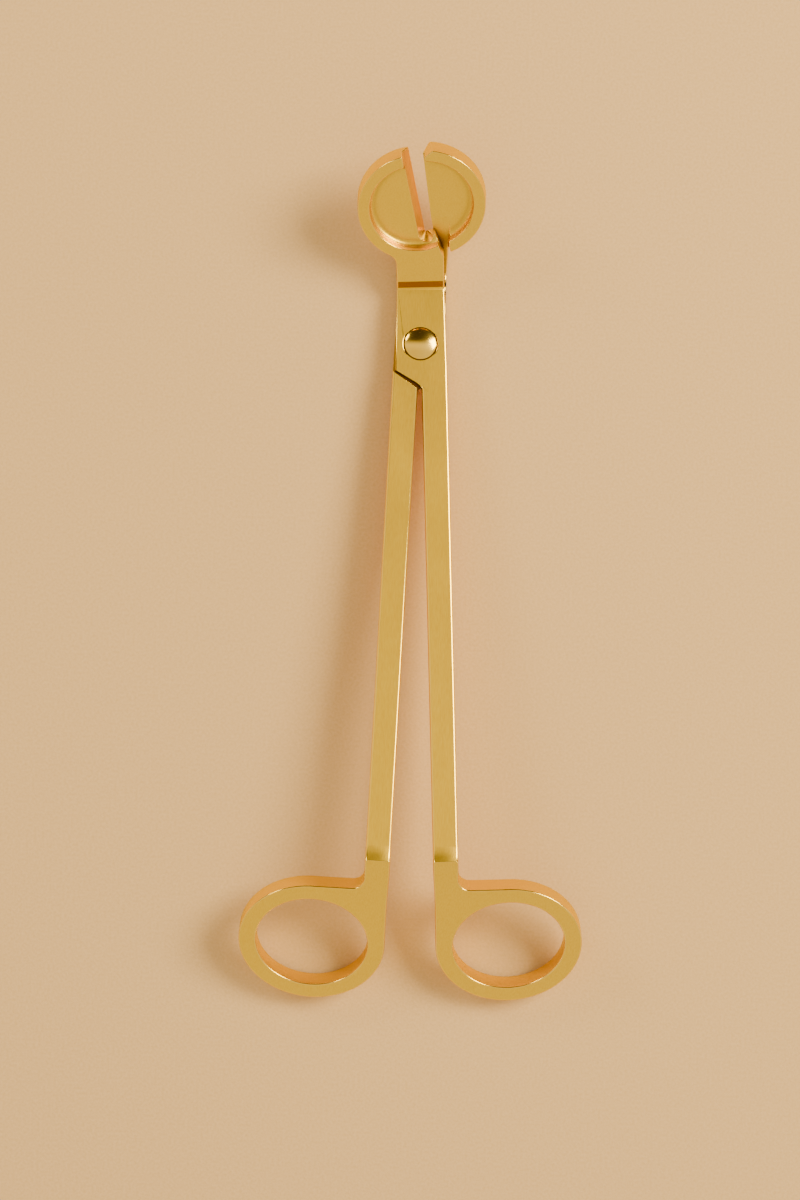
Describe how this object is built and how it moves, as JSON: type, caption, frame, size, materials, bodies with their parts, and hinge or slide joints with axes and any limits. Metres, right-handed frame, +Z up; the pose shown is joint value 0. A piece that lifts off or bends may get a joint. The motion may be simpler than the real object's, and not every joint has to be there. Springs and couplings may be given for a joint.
{
  "type": "wick trimmer",
  "caption": "Candle wick trimmer: two crossed metal levers on a domed pivot, angled round tray head split into two shearing halves, long slim arms and oval finger loops.",
  "frame": {"origin": "on the surface the trimmer lies on, below the middle of its bounding box", "axes": "+Y along the trimmer towards its head, +Z up, out of the front that shows the pivot's domed head, +X to the right seen from above with the head away from the viewer"},
  "size_m": [0.0706, 0.1758, 0.022],
  "materials": {
    "lever_gold": "satin gold plating with polished bevels",
    "pivot_gold": "polished gold plating",
    "washer_steel": "bright spring steel"
  },
  "bodies": {
    "back_half": {"back_lever": "lever_gold", "pivot_screw": "pivot_gold", "spring_washer": "washer_steel", "pivot_nut": "pivot_gold"},
    "front_half": {"front_lever": "lever_gold"}
  },
  "joints": [
    {"name": "pivot", "type": "hinge", "parent": "back_half", "child": "front_half", "pos_m": [0, 0.04731, 0.00375], "axis": [0, 0.1069, 0.9943], "range_deg": [-4.6, 30]}
  ]
}
